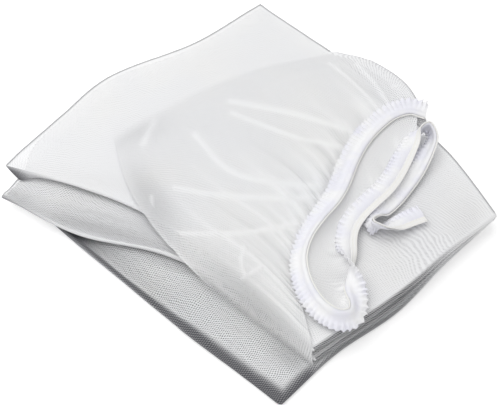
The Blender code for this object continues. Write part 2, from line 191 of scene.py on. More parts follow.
# Soft patches where the mesh is painted darker with shade or is more open: the ply, the middle, the reach along two
# headings
Patch = namedtuple("Patch", "ply x y length width heading depth openness")
PATCHES = (
    Patch(2, -78, -146, 24, 13, 12, 2.00, -0.30),
    Patch(2, -46, -140, 30, 9, 24, 0.45, 0.0),
    Patch(2, -16, -140, 50, 14, 8, 0.16, 0.05),
    Patch(2, 30, -130, 60, 10, 5, 0.08, 0.05),
    Patch(2, 100, -104, 50, 8, 8, 0.05, 0.03),
    Patch(2, 8, -108, 26, 5, 25, 0.14, 0.03),
    Patch(2, 139, -97, 22, 8, 0, 0.36, 0.0),
    Patch(4, -124, -158, 22, 9, 15, 0.40, 0.03),
    Patch(4, -58, -132, 62, 7, 28, 0.50, 0.05),
    Patch(4, -66, -123, 44, 2.6, 31, 0.16, 0.0),
    Patch(4, 30, -97, 44, 7, 18, 0.30, 0.04),
    Patch(6, -139, -141, 10, 7, 30, 0.12, 0.05),
    Patch(6, -80, -100, 50, 9, 30, 0.06, 0.0),
    Patch(6, 120, 20, 90, 60, 90, 0.14, -0.04),
    Patch(6, 158, 90, 30, 14, 120, 0.06, 0.06),
    Patch(GATHERED, -100, -45, 30, 14, 60, 0.12, 0.05),
    Patch(GATHERED, -32, -87, 38, 15, 165, 0.32, 0.08),
    Patch(GATHERED, 90, -92, 56, 14, 0, 0.32, 0.10),
    Patch(GATHERED, 60, -60, 60, 22, 10, 0.03, 0.02),
)

# The elasticated edge
FRILL_REACH = 8.5
TEETH_FROM = 4.4
HEM_EDGE = -2.5
# The binding runs on under the tape
BINDING_UNDER, UNDER_DROP = (-7.6, -5.4, -3.4), 1.3
# Reaches of the rows across the frill's teeth
BINDING_TEETH = np.linspace(TEETH_FROM, FRILL_REACH, 9)[1:]
TAPE_NEAR_EDGE, TAPE_FAR_EDGE = -3.2, -8.6
# The far side of the opening, from under the first run of tape to under the second run's frill
INNER_NEAR_STOPS, INNER_FAR_STOPS = (0.4, 15.0), (29.2, 15.0)
INNER_NEAR_REACH, INNER_FAR_REACH = -7.5, 5.5
# The second run turns over between these stops, where its tape comes to the inside of the loop
INNER_TURN_STOPS = (17.5, 20.0)
# How far the far side drops and sags, its clearance, and the depth of its painted shade
INNER_DROP, INNER_SAG, INNER_CLEARANCE, INNER_DEPTH = 1.6, 2.4, 0.8, 0.12
Stop = namedtuple("Stop", "x y z heading pitch")
ROUTE = (
    Stop(60, 146, 33.0, 120, 4),
    Stop(47, 138, 34.2, 138, 4),
    Stop(40, 121, 34.8, 168, 2),
    Stop(40, 100, 34.8, 185, 0),
    Stop(44, 78, 34.8, 197, 0),
    Stop(52, 57, 34.8, 204, 0),
    Stop(62, 37, 34.8, 202, -4),
    Stop(69, 19, 35.2, 197, -12),
    Stop(74, -3, 36.0, 198, -24),
    Stop(81, -24, 36.6, 208, -34),
    Stop(92, -42, 36.8, 222, -38),
    Stop(107, -54, 36.6, 236, -38),
    Stop(123, -61, 36.2, 252, -38),
    Stop(139, -63, 35.6, 270, -40),
    Stop(152, -59, 35.0, 305, -42),
    Stop(158, -49, 34.8, 350, -42),
    Stop(153, -39, 34.8, 392, -32),
    Stop(143, -31, 35.2, 408, 0),
    Stop(132, -23, 36.4, 405, 60),
    Stop(121, -15, 36.4, 230, 62),
    Stop(111, -7, 34.8, 224, 16),
    Stop(103, 1, 33.6, 216, 4),
    Stop(96, 12, 33.2, 206, 1),
    Stop(92, 27, 33.4, 188, 0),
    Stop(91, 44, 34.0, 181, 0),
    Stop(90, 60, 34.0, 184, 0),
    Stop(86, 77, 34.0, 194, 0),
    Stop(80, 93, 33.8, 199, -4),
    Stop(74, 109, 34.2, 198, -22),
    Stop(70, 121, 35.8, 196, -58),
    Stop(76, 131, 36.6, 250, -88),
    Stop(85, 124, 34.6, 205, -56),
    Stop(89, 110, 31.6, 201, -22),
    Stop(94, 93, 29.4, 198, -4),
    Stop(98, 76, 29.0, 192, 0),
    Stop(101, 59, 29.0, 184, 0),
    Stop(102.5, 44, 29.8, 178, -8),
    Stop(105.5, 30, 34.2, 190, -48),
    Stop(112, 22, 37.2, 230, -88),
    Stop(118, 28.5, 35.2, 170, -52),
    Stop(121, 41, 31.4, 164, -16),
    Stop(124, 54, 30.0, 160, -4),
    Stop(127.5, 65, 29.4, 158, 0),
)

# The photograph's view
CAMERA_AZIMUTH, CAMERA_ELEVATION = math.radians(46), math.radians(54)
CAMERA_DISTANCE = 1.1
CAMERA_TARGET = ((15 - PILE_MIDDLE[0]) * MM, (-21 - PILE_MIDDLE[1]) * MM, 15 * MM)
CAMERA_LENS = 95.4


# Curves and surfaces
def curve_at(points, share):
    """Points at shares of the way along a smooth curve through evenly counted points."""
    points = np.asarray(points, float)
    spans = len(points) - 1
    place = np.clip(share, 0.0, 1.0) * spans
    index = np.minimum(place.astype(int), spans - 1)
    t = (place - index)[..., None]
    padded = np.vstack((2 * points[0] - points[1], points, 2 * points[-1] - points[-2]))
    before, here, after, beyond = (padded[index + step] for step in range(4))
    return 0.5 * (
        2 * here
        + (after - before) * t
        + (2 * before - 5 * here + 4 * after - beyond) * t**2
        + (3 * here - before - 3 * after + beyond) * t**3
    )


def ease(value):
    """A smooth step from 0 to 1."""
    value = np.clip(value, 0.0, 1.0)
    return value * value * (3 - 2 * value)


def unit(vectors):
    """Vectors scaled to length 1."""
    return vectors / np.maximum(np.linalg.norm(vectors, axis=-1, keepdims=True), 1e-9)


def plan_at(packet, across, along):
    """A packet's plan, from its left to its right edge and from its front to its back edge."""
    edges = PACKETS[packet]
    a, b = across[..., None], along[..., None]
    front, back = curve_at(edges.front, across), curve_at(edges.back, across)
    left, right = curve_at(edges.left, along), curve_at(edges.right, along)
    near = np.array(edges.front.start) * (1 - a) + np.array(edges.front.end) * a
    far = np.array(edges.back.start) * (1 - a) + np.array(edges.back.end) * a
    return front * (1 - b) + back * b + left * (1 - a) + right * a - near * (1 - b) - far * b


def swells_at(plan):
    """Height of the soft swells."""
    total = np.zeros(plan.shape[:-1])
    for swell in SWELLS:
        heading = math.radians(swell.heading)
        distance = plan[..., 0] * math.cos(heading) + plan[..., 1] * math.sin(heading)
        total += swell.height * np.sin(TURN * distance / swell.wavelength + swell.phase)
    return total


def creases_at(ply, plan):
    """Height that a ply's creases add."""
    total = np.zeros(plan.shape[:-1])
    for crease in CREASES:
        if crease.ply != ply:
            continue
        line = curve_at((crease.start, crease.bend, crease.end), np.linspace(0, 1, 13))
        nearest = np.full(plan.shape[:-1], 1e9)
        for start, end in zip(line, line[1:]):
            run = end - start
            share = np.clip(((plan - start) @ run) / (run @ run), 0, 1)
            nearest = np.minimum(nearest, np.linalg.norm(plan - start - share[..., None] * run, axis=-1))
        total += crease.height * np.exp(-((nearest / crease.width) ** 2))
    return total


def height_of(ply, plan):
    """Height of the middle of a flat ply over the surface."""
    height = np.full(plan.shape[:-1], PLY / 2)
    weights = {
        name: np.exp(-(np.sum((plan - np.array(place)) ** 2, axis=-1) / CORNER_SPREAD**2))
        for name, place in CORNERS.items()
    }
    for number in range(2, ply + 1):
        gap = GAPS[number]
        height = height + gap.height
        for name, weight in weights.items():
            height = height + getattr(gap, name) * weight
    if ply % 2 == 0:
        height = height + swells_at(plan) + creases_at(ply, plan)
    return height


def ripple(plan, ply, height):
    """Small uneven ripples in a loose ply."""
    total = np.zeros(plan.shape[:-1])
    draw = np.random.default_rng(SEED + ply)
    for step in range(9):
        heading = draw.uniform(0, math.pi)
        wavelength = 70 / (1.32**step)
        phase = draw.uniform(0, TURN)
        distance = plan[..., 0] * math.cos(heading) + plan[..., 1] * math.sin(heading)
        total += np.sin(TURN * distance / wavelength + phase + 0.8 * np.sin(distance / 31 + phase)) / (1 + step)
    return total * height


def tip_at(plan):
    """How near places are to the top packet's open left tip, from 1 down to 0."""
    return np.exp(-(np.sum((plan - np.array(TIP)) ** 2, axis=-1) / TIP_SPREAD**2))


def flat_ply(ply, across, along):
    """Points of a flat ply. The upper ply of a packet rolls down over the packet's right side."""
    packet = PACKET_OF_PLY[ply]
    inner = np.minimum(across, ROLLED_FROM)
    plan = plan_at(packet, inner, along)
    height = height_of(ply, plan)
    if ply in FRONT_SINK:
        width, depth = FRONT_SINK[ply]
        from_front = np.linalg.norm(plan - plan_at(packet, inner, np.zeros_like(along)), axis=-1)
        height = height - depth * (1 - ease(from_front / width))
        height = height + ripple(plan, ply, 0.22)
    if ply == TIP_PLY:
        near_tip = tip_at(plan)
        height = height - TIP_SAG * near_tip
        plan = plan + np.array(TIP_PULL) * near_tip[..., None]
    turn = np.clip((across - ROLLED_FROM) / (1 - ROLLED_FROM), 0, 1)
    outward = unit(plan - plan_at(packet, np.full_like(across, ROLLED_FROM - 0.05), along))
    if ply % 2:
        plan = plan + outward * (turn * 2.4)[..., None]
        return np.concatenate((plan, height[..., None]), axis=-1)
    radius = height - height_of(ply - 1, plan) - PLY - 0.6
    plan = plan + outward * ((2.4 + PLY + 0.6) * np.sin(turn * math.pi / 2))[..., None]
    height = height - radius * (1 - np.cos(turn * math.pi / 2))
    return np.concatenate((plan, height[..., None]), axis=-1)


def strokes_at(across, along):
    """Height of the creases that run out from the elasticated edge, each with its own length and bend."""
    draw = np.random.default_rng(SEED)
    spread = 1 - across
    total = np.zeros(across.shape)
    for kind in STROKES:
        for number in range(kind.count):
            place = (number + draw.uniform(0.0, 1.0)) / kind.count
            drift, bend = draw.normal(0.0, 0.05, 2)
            length = draw.uniform(kind.shortest, kind.longest)
            width = kind.width * draw.uniform(0.7, 1.4) * (1 + 2 * spread)
            height = kind.height * draw.uniform(0.45, 1.0) * (1 if draw.uniform() < 0.72 else -0.7)
            offset = along - place - drift * spread - bend * spread**2
            ridge = np.exp(-(np.abs(offset / width) ** 1.5))
            total += height * ridge * (1 - ease(spread / length))
    return total


def gathers_at(across, along, plan):
    """Height of everything that creases the gathered ply."""
    shallow = 0.35 + 0.65 * ease((1 - across) / 0.06)
    return (strokes_at(across, along) + creases_at(GATHERED, plan)) * shallow * ease(across / 0.08)


def gathered_ply(across, along):
    """Points of the gathered ply on top."""
    plan = plan_at("gathered", across, along)
    inside = ease(across / 0.22) * (0.4 + 0.6 * ease((1 - across) / 0.12))
    gap = GATHERED_EDGE_GAP + (GATHERED_GAP - GATHERED_EDGE_GAP) * inside
    height = height_of(FLAT_PLIES, plan) + gap + gathers_at(across, along, plan)
    height = height + 0.8 * inside + ripple(plan, GATHERED, 0.20) * ease(across / 0.15)
    return np.concatenate((plan, height[..., None]), axis=-1)


def patches_at(ply, plan, field):
    """The depth or openness that a ply's patches add."""
    total = np.zeros(plan.shape[:-1])
    for patch in PATCHES:
        if patch.ply != ply:
            continue
        heading = math.radians(patch.heading)
        offset = plan - np.array((patch.x, patch.y))
        lengthways = offset[..., 0] * math.cos(heading) + offset[..., 1] * math.sin(heading)
        sideways = offset[..., 1] * math.cos(heading) - offset[..., 0] * math.sin(heading)
        total += getattr(patch, field) * np.exp(-((lengthways / patch.length) ** 2) - (sideways / patch.width) ** 2)
    return total


def round_turn(lower, upper, outward, reach, angle):
    """Points of the round fold between two plies' edges."""
    rise = (upper[..., 2] - lower[..., 2]) / 2
    share = ((1 + np.sin(angle)) / 2)[..., None]
    plan = lower[..., :2] * (1 - share) + upper[..., :2] * share + outward * (reach * np.cos(angle))[..., None]
    return np.concatenate((plan, (lower[..., 2] + rise + rise * np.sin(angle))[..., None]), axis=-1)


def ply_end(ply, across, along):
    """A ply's end, and the plan direction that leads out of the pile there."""
    edge = flat_ply(ply, across, np.full_like(across, along))
    inner = flat_ply(ply, across, np.full_like(across, abs(along - 0.06)))
    return edge, unit(edge[..., :2] - inner[..., :2])


# Meshes
def grid_piece(name, points, uv, attributes=None):
    """A mesh object from rows of points in millimetres, with a UV map in metres and point values."""
    rows, columns = points.shape[:2]
    middle = np.array((*PILE_MIDDLE, 0.0))
    verts = ((points - middle) * MM).reshape(-1, 3)
    index = np.arange(rows * columns).reshape(rows, columns)
    corners = (index[:-1, :-1], index[:-1, 1:], index[1:, 1:], index[1:, :-1])
    faces = np.stack([corner.ravel() for corner in corners], axis=1)
    mesh = bpy.data.meshes.new(name)
    mesh.from_pydata(verts.tolist(), [], faces.tolist())
    layer = mesh.uv_layers.new(name="Weave")
    layer.data.foreach_set("uv", uv.reshape(-1, 2)[faces.ravel()].ravel())
    for title, values in (attributes or {}).items():
        data = mesh.attributes.new(title, "FLOAT", "POINT")
        data.data.foreach_set("value", np.broadcast_to(values, (rows, columns)).astype(np.float32).ravel())
    mesh.shade_smooth()
    mesh.validate()
    piece = bpy.data.objects.new(name, mesh)
    bpy.context.scene.collection.objects.link(piece)
    return piece


def run_lengths(points, axis):
    """Distance run along rows or columns of points, in metres."""
    steps = np.linalg.norm(np.diff(points, axis=axis), axis=-1) * MM
    pad = [(0, 0), (0, 0)]
    pad[axis] = (1, 0)
    return np.pad(np.cumsum(steps, axis=axis), pad)


def turned(across, along):
    """Places in the weave, whose wales run at an angle to the folds."""
    across, along = np.broadcast_arrays(across, along)
    c, s = math.cos(WEAVE_ANGLE), math.sin(WEAVE_ANGLE)
    return np.stack((across * c + along * s, along * c - across * s), axis=-1)


# Materials
class Nodes:
    """A material's nodes, added and linked one at a time."""

    def __init__(self, name):
        self.material = bpy.data.materials.new(name)
        self.material.use_nodes = True
        self.tree = self.material.node_tree
        self.shader = self.tree.nodes["Principled BSDF"]

    def add(self, kind, inputs=None, **settings):
        node = self.tree.nodes.new(kind)
        for key, value in settings.items():
            setattr(node, key, value)
        for key, value in (inputs or {}).items():
            if isinstance(value, bpy.types.NodeSocket):
                self.tree.links.new(value, node.inputs[key])
            else:
                node.inputs[key].default_value = value
        return node

    def math(self, operation, first, second=0.0, clamp=False):
        node = self.add("ShaderNodeMath", {0: first, 1: second}, operation=operation, use_clamp=clamp)
        return node.outputs[0]

    def smooth(self, value, low, high, to_low=0.0, to_high=1.0):
        inputs = {"Value": value, "From Min": low, "From Max": high, "To Min": to_low, "To Max": to_high}
        return self.add("ShaderNodeMapRange", inputs, interpolation_type="SMOOTHSTEP").outputs["Result"]

    def mix(self, share, first, second):
        node = self.add("ShaderNodeMix", data_type="RGBA")
        for socket, value in ((node.inputs[0], share), (node.inputs[6], first), (node.inputs[7], second)):
            if isinstance(value, bpy.types.NodeSocket):
                self.tree.links.new(value, socket)
            else:
                socket.default_value = value
        return node.outputs[2]

    def attribute(self, name):
        return self.add("ShaderNodeAttribute", attribute_name=name).outputs["Fac"]

    def weave_place(self):
        node = self.add("ShaderNodeSeparateXYZ", {0: self.add("ShaderNodeUVMap", uv_map="Weave").outputs["UV"]})
        return node.outputs["X"], node.outputs["Y"]

    def set(self, name, value):
        socket = self.shader.inputs[name]
        if isinstance(value, bpy.types.NodeSocket):
            self.tree.links.new(value, socket)
        else:
            socket.default_value = value

    def bump(self, height, strength, distance):
        inputs = {"Height": height, "Strength": strength, "Distance": distance}
        self.set("Normal", self.add("ShaderNodeBump", inputs).outputs["Normal"])


def rgba(colour):
    """A colour with full alpha."""
    return (*colour, 1.0)


def mesh_cloth(name, settings):
    """Knitted mesh: staggered holes between rounded threads. The point value sheer widens the holes."""
    nodes = Nodes(name)
    across, along = nodes.weave_place()
    place = nodes.add("ShaderNodeTexCoord").outputs["Object"]
    stretch = nodes.add("ShaderNodeTexNoise", {"Vector": place, "Scale": settings.unevenness, "Detail": 2.0})
    stretch = nodes.add("ShaderNodeSeparateColor", {0: stretch.outputs["Color"]})
    across = nodes.math("ADD", across, nodes.math("MULTIPLY", stretch.outputs[0], settings.stretch))
    along = nodes.math("ADD", along, nodes.math("MULTIPLY", stretch.outputs[1], settings.stretch))
    wales = nodes.math("COSINE", nodes.math("MULTIPLY", across, TURN / settings.hole_across))
    courses = nodes.math("COSINE", nodes.math("MULTIPLY", along, TURN / settings.hole_along))
    lattice = nodes.math("MULTIPLY", wales, courses)
    limit = nodes.math("SUBTRACT", 1.0, nodes.math("MULTIPLY", nodes.attribute("sheer"), 2.3))
    hole = nodes.smooth(nodes.math("SUBTRACT", lattice, limit), -0.12, 0.12)
    solid = nodes.math("SUBTRACT", 1.0, nodes.attribute("fade"), clamp=True)
    nodes.set("Alpha", nodes.math("MULTIPLY", nodes.math("SUBTRACT", 1.0, hole), solid))
    cloud = nodes.add("ShaderNodeTexNoise", {"Vector": place, "Scale": 14.0, "Detail": 3.0}).outputs["Fac"]
    tint = nodes.mix(nodes.smooth(cloud, 0.35, 0.7), rgba(settings.cool), rgba(settings.warm))
    # Painted shade: the point value shade mixes the colour towards the shade colour, most in the holes
    knit = nodes.smooth(lattice, -0.2, 0.6, 0.54, 1.25)
    shade = nodes.math("MULTIPLY", nodes.attribute("shade"), knit, clamp=True)
    nodes.set("Base Color", nodes.mix(shade, tint, rgba(settings.shadow)))
    nodes.set("Roughness", nodes.smooth(cloud, 0.2, 0.8, 0.62, 0.8))
    nodes.set("Sheen Weight", 0.15)
    nodes.set("Sheen Roughness", 0.5)
    nodes.bump(lattice, 0.25, 0.0003)
    return nodes.material


def finish_piece(piece, node, material):
    """Gives a piece its material and its place in the model."""
    piece.data.materials.append(material)
    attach(piece, "root")
    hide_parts(node)


# Settings
class ClothSettings(PropertyGroup):
    """Sizes and colours of the mesh."""

    hole_across: FloatProperty(
        name="Hole Pitch Across", description="Pitch of the mesh holes across the cloth", default=0.0034, unit="LENGTH"
    )
    hole_along: FloatProperty(
        name="Hole Pitch Along", description="Pitch of the mesh holes along the cloth", default=0.0020, unit="LENGTH"
    )
    unevenness: FloatProperty(
        name="Unevenness", description="How finely the mesh is stretched unevenly", default=45.0, min=0
    )
    stretch: FloatProperty(
        name="Stretch", description="How far the mesh is stretched unevenly", default=0.006, unit="LENGTH"
    )
    warm: FloatVectorProperty(
        name="Light Threads", description="Colour of the brighter threads", default=(0.97, 0.97, 0.97), subtype="COLOR"
    )
    cool: FloatVectorProperty(
        name="Cool Threads", description="Colour of the cooler threads", default=(0.95, 0.955, 0.97), subtype="COLOR"
    )
    # The colour that the painted shade mixes towards
    shadow: FloatVectorProperty(
        name="Painted Shade", description="Colour deep in the folds", default=(0.045, 0.045, 0.055), subtype="COLOR"
    )
    columns: IntProperty(name="Columns", description="Faces across a flat ply", default=120, min=20)


class EdgeSettings(PropertyGroup):
    """Sizes and colours of the elasticated edge."""

    pleat: FloatProperty(name="Pleat Pitch", description="Pitch of the frill's pleats", default=0.0041, unit="LENGTH")
    swing: FloatProperty(name="Pleat Depth", description="How far a pleat stands out", default=0.0011, unit="LENGTH")
    white: FloatVectorProperty(
        name="Binding", description="Colour of the binding", default=(0.96, 0.96, 0.97), subtype="COLOR"
    )
    cream: FloatVectorProperty(
        name="Elastic", description="Colour of the elastic tape", default=(0.93, 0.915, 0.86), subtype="COLOR"
    )


class StudioSettings(PropertyGroup):
    """The floor and the light."""

    floor: FloatVectorProperty(name="Floor", description="Colour of the floor", default=(0.75, 0.75, 0.75), subtype="COLOR")
    floor_glow: FloatProperty(name="Floor Glow", description="Light that the backlit floor gives off", default=0.65, min=0)
    sky: FloatProperty(name="Sky Strength", description="Strength of the even light", default=0.55, min=0)
    key: FloatProperty(name="Key Power", description="Power of the large soft light", default=14.0, min=0, unit="POWER")


def end_shares(count, margin, extra):
    """Shares from 0 to 1, closer together within the margins at both ends."""
    near = np.linspace(0, margin, extra)
    return np.concatenate((near, np.linspace(margin, 1 - margin, count)[1:-1], 1 - near[::-1]))


def flat_rows(visible_rows, hidden_rows, turn_rows):
    """The folded cloth's rows in order, as (ply, along, angle). Rows of a ply have no angle."""
    rows = []
    for ply in range(1, FLAT_PLIES + 1):
        shares = np.linspace(1, 0, hidden_rows + 1) if ply % 2 else end_shares(visible_rows, 0.012, 4)
        rows += [(ply, share, None) for share in shares]
        if ply < FLAT_PLIES:
            for angle in np.linspace(-math.pi / 2, math.pi / 2, turn_rows + 2)[1:-1]:
                rows.append((ply, float(ply % 2 == 0), angle))
    return rows


def ply_tone(ply, points, along, shares):
    """How deep in painted shade and how open a row of a flat ply is."""
    from_left = np.linalg.norm(points[:, :2] - points[0, :2], axis=-1)
    depth = DEPTH[ply] + patches_at(ply, points[:, :2], "depth")
    # A thin painted dark outline along the left edge, and along the top ply's back edge
    dark_outline = np.exp(-((from_left / OUTLINE_WIDTH) ** 2))
    if ply == FLAT_PLIES:
        back = plan_at("top", shares, np.ones_like(shares))
        dark_outline = np.maximum(dark_outline, np.exp(-(np.sum((points[:, :2] - back) ** 2, axis=-1) / OUTLINE_WIDTH**2)))
    rolled = np.clip((shares - ROLLED_FROM) / (1 - ROLLED_FROM), 0, 1)
    # Painted shade on the rolled right side, in bands
    side = np.interp(along, SIDE_PLACES, SIDE_DEPTHS) * ease(rolled / 0.55)
    side = side * (0.9 + 0.1 * np.cos(TURN * 1.6 * rolled))
    depth = np.maximum(np.maximum(depth, OUTLINE_SHADE * dark_outline), side)
    openness = (OPENNESS[ply] + patches_at(ply, points[:, :2], "openness")) * (1 - ease(rolled / 0.3))
    # The bottom fold's front edge and right corner are painted in deep shade, with the holes closed
    if ply == 2:
        front = plan_at("bottom", shares, np.zeros_like(shares))
        from_front = np.linalg.norm(points[:, :2] - front, axis=-1)
        from_right = np.linalg.norm(points[:, :2] - points[-1, :2], axis=-1)
        margin = np.interp(shares, FRONT_PLACES, FRONT_MARGINS)
        shaded_edge = np.exp(-((from_front / margin) ** 3))
        corner = np.exp(-((from_right / CORNER_MARGIN) ** 3)) * (1 - ease((along - 0.12) / 0.1))
        shaded_edge = np.maximum(shaded_edge, corner)
        depth = np.maximum(depth, SHADED_EDGE_DEPTH * shaded_edge)
        openness = openness * (1 - shaded_edge)
    return depth, openness * (1 - dark_outline)


def turn_tone(ply, angle, shares):
    """How deep in painted shade and how open a row of a fold is. The front folds grow darker towards the right."""
    rise = (1 + math.sin(angle)) / 2
    # The back folds are painted in half shade
    if ply % 2 == 0:
        return np.full_like(shares, 0.5), np.zeros_like(shares)
    front = np.interp(shares, FRONT_PLACES, FRONT_DEPTHS[ply])
    upper = SHADED_EDGE_DEPTH if ply == 1 else np.maximum(DEPTH[ply + 1] + KNIT_DEPTH, LIP_SHARE * front)
    depth = front * (1 - ease((rise - 0.62) / 0.38)) + upper * ease((rise - 0.62) / 0.38)
    return depth, np.zeros_like(shares)


class NET_OT_folded_plies(Operator):
    """Build the folded plies of mesh"""

    bl_idname = "net.folded_plies"
    bl_label = "Folded Plies"

    def execute(self, context):
        settings = context.scene.net_cloth
        left = np.linspace(0, 0.012, 5)
        middle = np.linspace(0.012, ROLLED_FROM, settings.columns)[1:]
        shares = np.concatenate((left, middle, np.linspace(ROLLED_FROM, 1, 13)[1:]))
        points, sheer, shade = [], [], []
        for ply, along, angle in flat_rows(110, 24, 11):
            if angle is None:
                row = flat_ply(ply, shares, np.full_like(shares, along))
                depth, openness = ply_tone(ply, row, along, shares)
            else:
                lower, outward = ply_end(ply, shares, along)
                upper = flat_ply(ply + 1, shares, np.full_like(shares, along))
                reach = (upper[..., 2] - lower[..., 2]) / 2 * TURN_PUFF
                if ply == TIP_PLY:
                    reach = reach * (1 - 0.85 * tip_at(upper[..., :2]))
                row = round_turn(lower, upper, outward, reach, np.full_like(shares, angle))
                depth, openness = turn_tone(ply, angle, shares)
            points.append(row)
            shade.append(depth)
            sheer.append(openness)
        points = np.array(points)
        uv = turned(run_lengths(points, 1), run_lengths(points, 0))
        values = {"sheer": np.array(sheer), "shade": np.maximum(shade, 0), "fade": 0.0}
        piece = grid_piece("net_folds", points, uv, values)
        finish_piece(piece, "net", mesh_cloth("folded_mesh", settings))
        return {"FINISHED"}


class NET_OT_gathered_ply(Operator):
    """Build the gathered ply that fans out from the opening"""

    bl_idname = "net.gathered_ply"
    bl_label = "Gathered Ply"

    def execute(self, context):
        settings = context.scene.net_cloth
        across = np.linspace(0, 1, 180)
        rows, depths = [], []
        column = GATHERED_FROM + (GATHERED_TO - GATHERED_FROM) * across
        lower, outward = ply_end(FLAT_PLIES, column, 1.0)
        grid_across, grid_along = np.meshgrid(across, np.linspace(1, 0, 430))
        body = gathered_ply(grid_across, grid_along)
        reach = OPENING_TURN_REACH + OPENING_TURN_BULGE * np.sin(math.pi * across)
        for angle in np.linspace(-math.pi / 2, math.pi / 2, 20)[:-1]:
            rows.append(round_turn(lower, body[0], outward, reach, np.full_like(across, angle)))
            # Painted shade on the opening fold's turned-away lower side, fading out above its outline
            depths.append(np.full_like(across, 0.65 * (1 - ease((math.degrees(angle) - 22) / 22))))
        # Crests of the gathers are painted lighter and their grooves darker
        crest = np.clip(gathers_at(grid_across, grid_along, body[..., :2]), -0.6, 1.4)
        rows += list(body)
        depths += list(DEPTH[GATHERED] + patches_at(GATHERED, body[..., :2], "depth") - CREST_LIGHT * crest)
        edge, inner = body[-1], gathered_ply(across, np.full_like(across, 0.06))
        outward = unit(edge[..., :2] - inner[..., :2])
        drop = curve_at([(value,) for value in DRAPE_DROP], across)[..., 0]
        reach = curve_at([(value,) for value in DRAPE_REACH], across)
        fade = [np.zeros_like(across)] * len(rows)
        for share in np.linspace(0, 1, 19)[1:]:
            plan = edge[..., :2] + outward * reach * share
            height = edge[..., 2] - drop * ease(share)
            rows.append(np.concatenate((plan, height[..., None]), axis=-1))
            depths.append(DEPTH[GATHERED] + patches_at(GATHERED, plan, "depth"))
            fade.append(ease((share - 0.62) / 0.38) * ease((across - 0.5) / 0.15))
        points = np.array(rows)
        run = run_lengths(points, 1)
        run = run[:, -1:] - run
        uv = turned(run, run_lengths(points, 0))
        openness = OPENNESS[GATHERED] + patches_at(GATHERED, points[..., :2], "openness")
        # The gathered ply's left edge is painted with less shade, so it reads lighter
        depths = np.clip(np.array(depths) * (0.2 + 0.8 * ease(across / 0.05)), 0, 1)
        values = {"sheer": openness, "shade": depths, "fade": np.array(fade)}
        piece = grid_piece("net_gathers", points, uv, values)
        finish_piece(piece, "net", mesh_cloth("gathered_mesh", settings))
        return {"FINISHED"}


def route_frames(share):
    """Frames on the edge's route: the seam, the run, the way to the frill and the face's normal."""
    places = np.array([(stop.x, stop.y, stop.z) for stop in ROUTE], float)
    heading = np.radians([stop.heading for stop in ROUTE])
    pitch = np.radians([stop.pitch for stop in ROUTE])
    ways = np.stack((np.cos(heading) * np.cos(pitch), np.sin(heading) * np.cos(pitch), np.sin(pitch)), axis=1)
    tangent = unit(curve_at(places, share + 0.002) - curve_at(places, share - 0.002))
    way = curve_at(ways, share)
    way = unit(way - tangent * np.sum(way * tangent, axis=1, keepdims=True))
    return curve_at(places, share), tangent, way, np.cross(tangent, way)


def even_route(count):
    """Shares of the route that are evenly far apart, and the route's length."""
    fine = np.linspace(0, 1, 6001)
    samples = curve_at([(stop.x, stop.y, stop.z) for stop in ROUTE], fine)
    lengths = np.concatenate(([0], np.cumsum(np.linalg.norm(np.diff(samples, axis=0), axis=1))))
    return np.interp(np.linspace(0, lengths[-1], count + 1), lengths, fine), lengths[-1]


class NET_OT_inner_ply(Operator):
    """Build the far side of the opening, between the two runs of elastic"""

    bl_idname = "net.inner_ply"
    bl_label = "Inner Ply"

    def execute(self, context):
        settings = context.scene.net_cloth
        last = len(ROUTE) - 1
        far_stops = np.linspace(*INNER_FAR_STOPS, 90)
        near = route_frames(np.linspace(*INNER_NEAR_STOPS, 90) / last)
        far = route_frames(far_stops / last)
        turned_over = ease((far_stops - INNER_TURN_STOPS[0]) / (INNER_TURN_STOPS[1] - INNER_TURN_STOPS[0]))
        far_reach = INNER_NEAR_REACH + (INNER_FAR_REACH - INNER_NEAR_REACH) * turned_over
        start = near[0] + near[2] * INNER_NEAR_REACH - np.array((0, 0, INNER_DROP))
        end = far[0] + far[2] * far_reach[:, None] - np.array((0, 0, INNER_DROP))
        across, along = np.meshgrid(np.linspace(0, 1, 40), np.linspace(0, 1, 90))
        points = start[:, None, :] * (1 - across[..., None]) + end[:, None, :] * across[..., None]
        folds = strokes_at(across, along)
        points[..., 2] += (0.5 * folds - INNER_SAG) * np.sin(math.pi * across)
        lowest = height_of(FLAT_PLIES, points[..., :2]) + INNER_CLEARANCE
        points[..., 2] = np.maximum(points[..., 2], lowest)
        uv = turned(run_lengths(points, 1), run_lengths(points, 0))
        # Painted light on the folds' crests and painted shade in their grooves
        shade = np.clip(INNER_DEPTH - CREST_LIGHT * np.clip(folds, -0.6, 1.4), 0, 1)
        piece = grid_piece("net_inner", points, uv, {"sheer": 0.12, "shade": shade, "fade": 0.0})
        finish_piece(piece, "net", mesh_cloth("inner_mesh", settings))
        return {"FINISHED"}


